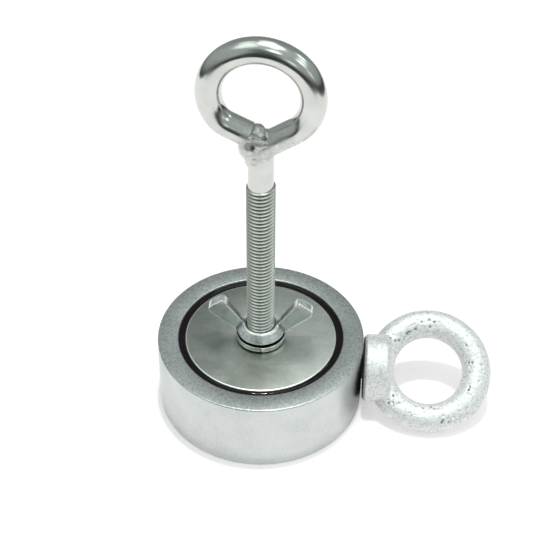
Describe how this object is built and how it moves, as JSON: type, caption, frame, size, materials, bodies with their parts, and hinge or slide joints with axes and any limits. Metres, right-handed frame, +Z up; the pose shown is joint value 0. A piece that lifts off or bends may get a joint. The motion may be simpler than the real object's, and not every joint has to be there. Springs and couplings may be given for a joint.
{
  "type": "magnet fishing magnet",
  "caption": "Two-sided round pot magnet with a long threaded eye bolt, wing nut and lock washer on one face and a forged eye bolt in its side.",
  "frame": {"origin": "under the middle of the whole object's bounding box, on the plane of the housing's lower rim; the housing's own axis stands at x = -0.0237", "axes": "+Z up along the long eye bolt, +X along the side eye bolt's shank, away from the housing"},
  "size_m": [0.1224, 0.075, 0.1553],
  "materials": {
    "zinc_plated_steel": "satin zinc plate, finely mottled",
    "nickel_plated_magnet": "satin nickel plate, bright at the edge",
    "black_resin": "glossy cast epoxy",
    "bright_zinc": "polished bright zinc plate",
    "cast_zinc": "tumbled zinc plate with bright edges",
    "galvanised_forging": "hot-dip galvanised, rough and pitted"
  },
  "bodies": {
    "housing": {"housing": "zinc_plated_steel", "upper_magnet": "nickel_plated_magnet", "lower_magnet": "nickel_plated_magnet", "upper_potting": "black_resin", "lower_potting": "black_resin"},
    "long_eye_bolt": {"long_eye_bolt": "bright_zinc"},
    "spring_washer": {"spring_washer": "bright_zinc"},
    "wing_nut": {"wing_nut": "cast_zinc"},
    "side_eye_bolt": {"side_eye_bolt": "galvanised_forging"}
  },
  "joints": [
    {"name": "eye_turn", "type": "hinge", "parent": "housing", "child": "long_eye_bolt", "pos_m": [-0.0237, 0, 0.01425], "axis": [0, 0, 1], "range_deg": [0, 2760]},
    {"name": "nut_turn", "type": "hinge", "parent": "long_eye_bolt", "child": "spring_washer", "pos_m": [-0.0237, 0, 0.0294], "axis": [0, 0, 1], "range_deg": [0, 15120]},
    {"name": "nut_lift", "type": "slide", "parent": "spring_washer", "child": "wing_nut", "axis": [0, 0, 1], "range_m": [0, 0.06301]},
    {"name": "side_eye_turn", "type": "hinge", "parent": "housing", "child": "side_eye_bolt", "pos_m": [0.0148, 0, 0.01425], "axis": [1, 0, 0], "range_deg": [0, 3840]}
  ],
  "couplings": [
    {"joint": "nut_lift", "follows": "nut_turn", "m_per_rad": 0.00023873}
  ]
}
